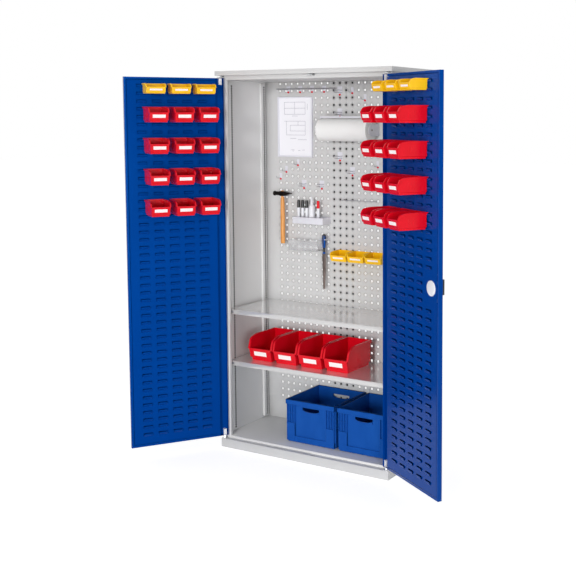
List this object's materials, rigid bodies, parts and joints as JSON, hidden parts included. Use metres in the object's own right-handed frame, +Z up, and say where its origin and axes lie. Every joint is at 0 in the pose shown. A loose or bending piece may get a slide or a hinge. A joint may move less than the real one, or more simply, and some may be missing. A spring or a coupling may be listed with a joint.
{
  "type": "tool cabinet with doors",
  "caption": "Tall sheet-metal tool cabinet with two louvred doors full of hung bins, a perforated back with hung tools, shelves, large bins and crates.",
  "frame": {"origin": "centre of the plinth's footprint, on the floor", "axes": "+Z up, the doors face -Y, +X to the right of someone who faces the cabinet"},
  "size_m": [1.6681, 0.8465, 1.95],
  "materials": {
    "carcass_paint": "light grey powder coat",
    "shelf_paint": "light grey gloss paint",
    "door_paint": "gentian blue powder coat",
    "zinc": "bright zinc plate",
    "steel": "bare steel",
    "white_plastic": "moulded",
    "black_plastic": "moulded",
    "red_plastic": "moulded",
    "yellow_plastic": "moulded",
    "blue_plastic": "moulded",
    "clear_plastic": "clear moulded",
    "paper": "paper",
    "wood": "lacquered ash",
    "hook_paint": "plated wire"
  },
  "bodies": {
    "carcass": {"plinth": "carcass_paint", "floor_panel": "carcass_paint", "top_panel": "carcass_paint", "top_cover": "carcass_paint", "perforated_back": "carcass_paint", "back_stiffener": "carcass_paint", "left_side_wall": "carcass_paint", "right_side_wall": "carcass_paint", "slotted_strips": "carcass_paint", "upper_shelf": "shelf_paint", "lower_shelf": "shelf_paint", "shelf_clips": "zinc", "hinge_brackets": "zinc", "bolt_keeper": "zinc", "wall_bins": "yellow_plastic", "shelf_bins": "red_plastic", "left_crate": "blue_plastic", "right_crate": "blue_plastic", "document_frame": "hook_paint", "document_sheet": "paper", "roll_holder": "hook_paint", "roll_shaft": "steel", "hook_rail": "hook_paint", "hooks_and_clips": "hook_paint", "tool_bar": "hook_paint", "tool_forks": "hook_paint", "marker_tray": "hook_paint", "pens": "white_plastic", "bottle": "white_plastic", "hammer_head": "steel", "hammer_handle": "wood", "file_grip": "wood", "file_blade": "steel", "parts_box": "clear_plastic"},
    "left_door": {"left_door_shell": "door_paint", "left_louvre_panel": "door_paint", "left_hinge_pins": "steel", "left_pin_blocks": "white_plastic", "left_small_bins": "yellow_plastic", "left_upper_bins": "red_plastic", "left_lower_bins": "red_plastic"},
    "right_door": {"right_door_shell": "door_paint", "right_louvre_panel": "door_paint", "right_hinge_pins": "steel", "right_pin_blocks": "white_plastic", "right_small_bins": "yellow_plastic", "right_upper_bins": "red_plastic", "right_lower_bins": "red_plastic", "lock_case": "zinc", "lock_disc": "black_plastic", "rod_guides": "black_plastic"},
    "handle": {"lock_handle": "black_plastic", "lock_spindle": "steel"},
    "upper_bolt": {"upper_rod": "zinc"},
    "lower_bolt": {"lower_rod": "zinc"},
    "roll": {"paper_roll": "paper", "roll_hubs": "black_plastic"}
  },
  "joints": [
    {"name": "left_door_swing", "type": "hinge", "parent": "carcass", "child": "left_door", "pos_m": [-0.484, -0.20975, 0.988], "axis": [0, 0, 1], "range_deg": [-55, 125]},
    {"name": "right_door_swing", "type": "hinge", "parent": "carcass", "child": "right_door", "pos_m": [0.484, -0.20975, 0.988], "axis": [0, 0, 1], "range_deg": [-148, 32]},
    {"name": "handle_turn", "type": "hinge", "parent": "right_door", "child": "handle", "pos_m": [0.83742, -0.44239, 0.986], "axis": [0.5299, 0.848, 0], "range_deg": [0, 90]},
    {"name": "upper_bolt_slide", "type": "slide", "parent": "right_door", "child": "upper_bolt", "axis": [0, 0, 1], "range_m": [0, 0.022]},
    {"name": "lower_bolt_slide", "type": "slide", "parent": "right_door", "child": "lower_bolt", "axis": [0, 0, -1], "range_m": [0, 0.022]},
    {"name": "paper_roll_spin", "type": "hinge", "parent": "carcass", "child": "roll", "pos_m": [0.063, 0.11725, 1.652], "axis": [1, 0, 0], "continuous": true}
  ],
  "couplings": [
    {"joint": "upper_bolt_slide", "follows": "handle_turn", "m_per_rad": 0.014005},
    {"joint": "lower_bolt_slide", "follows": "handle_turn", "m_per_rad": 0.014005}
  ]
}
